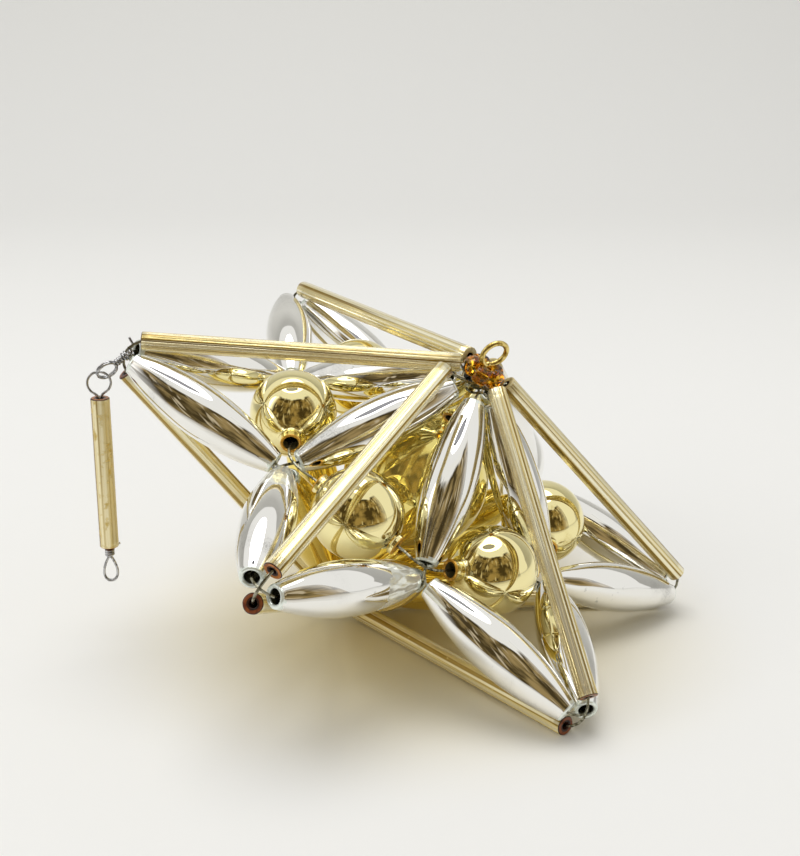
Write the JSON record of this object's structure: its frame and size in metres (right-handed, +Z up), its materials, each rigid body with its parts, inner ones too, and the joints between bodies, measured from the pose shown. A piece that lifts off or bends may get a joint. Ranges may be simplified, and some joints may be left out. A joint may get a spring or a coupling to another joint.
{
  "type": "beaded star ornament",
  "caption": "Hanging star of silvered and gilt blown-glass beads and tubes threaded on wire, with an amber bead crown, a brass hanging eye and a swinging glass drop.",
  "frame": {"origin": "centre of the bounding box's base, on the surface that the star lies on", "axes": "+Z up, +X from the tip with the glass drop towards the far side, +Y away from the viewer of the picture"},
  "size_m": [0.0984, 0.0958, 0.0532],
  "materials": {
    "silvered_glass": "silvered inside",
    "gilt_oblong_glass": "gilt inside",
    "gilt_tube_glass": "pale gilt inside",
    "gilt_ball_glass": "gilt inside",
    "amber_glass": "clear amber",
    "brass": "bright",
    "steel_wire": "drawn"
  },
  "bodies": {
    "star": {"oblong_1_left": "silvered_glass", "oblong_1_right": "silvered_glass", "petal_top_1": "silvered_glass", "petal_bottom_1": "gilt_oblong_glass", "tube_top_1": "gilt_tube_glass", "tube_bottom_1": "gilt_tube_glass", "ball_1": "gilt_ball_glass", "oblong_2_left": "silvered_glass", "oblong_2_right": "silvered_glass", "petal_top_2": "silvered_glass", "petal_bottom_2": "gilt_oblong_glass", "tube_top_2": "gilt_tube_glass", "tube_bottom_2": "gilt_tube_glass", "ball_2": "gilt_ball_glass", "oblong_3_left": "silvered_glass", "oblong_3_right": "silvered_glass", "petal_top_3": "silvered_glass", "petal_bottom_3": "gilt_oblong_glass", "tube_top_3": "gilt_tube_glass", "tube_bottom_3": "gilt_tube_glass", "ball_3": "gilt_ball_glass", "oblong_4_left": "silvered_glass", "oblong_4_right": "silvered_glass", "petal_top_4": "silvered_glass", "petal_bottom_4": "gilt_oblong_glass", "tube_top_4": "gilt_tube_glass", "tube_bottom_4": "gilt_tube_glass", "ball_4": "gilt_ball_glass", "oblong_5_left": "silvered_glass", "oblong_5_right": "silvered_glass", "petal_top_5": "silvered_glass", "petal_bottom_5": "gilt_oblong_glass", "tube_top_5": "gilt_tube_glass", "tube_bottom_5": "gilt_tube_glass", "ball_5": "gilt_ball_glass", "oblong_6_left": "silvered_glass", "oblong_6_right": "silvered_glass", "petal_top_6": "silvered_glass", "petal_bottom_6": "gilt_oblong_glass", "tube_top_6": "gilt_tube_glass", "tube_bottom_6": "gilt_tube_glass", "ball_6": "gilt_ball_glass", "core_ball": "gilt_ball_glass", "outline_wire": "steel_wire", "ball_wire": "steel_wire", "tube_wire": "steel_wire", "petal_wire": "steel_wire", "seed_1": "amber_glass", "seed_2": "amber_glass", "seed_3": "amber_glass", "seed_4": "amber_glass", "seed_5": "amber_glass", "seed_wire": "steel_wire", "brass_eye": "brass", "top_binding": "steel_wire", "bottom_binding": "steel_wire", "hanger": "steel_wire"},
    "pendant": {"pendant_wire": "steel_wire"},
    "pendant_glass": {"pendant_tube": "gilt_tube_glass"}
  },
  "joints": [
    {"name": "pendant_swing", "type": "hinge", "parent": "star", "child": "pendant", "pos_m": [-0.04723, -0.00819, 0.04603], "axis": [0.157, -0.9876, 0], "range_deg": [-70, 15]},
    {"name": "pendant_tube_spin", "type": "hinge", "parent": "pendant", "child": "pendant_glass", "pos_m": [-0.04723, -0.00819, 0.03003], "axis": [0, 0, 1], "continuous": true}
  ]
}
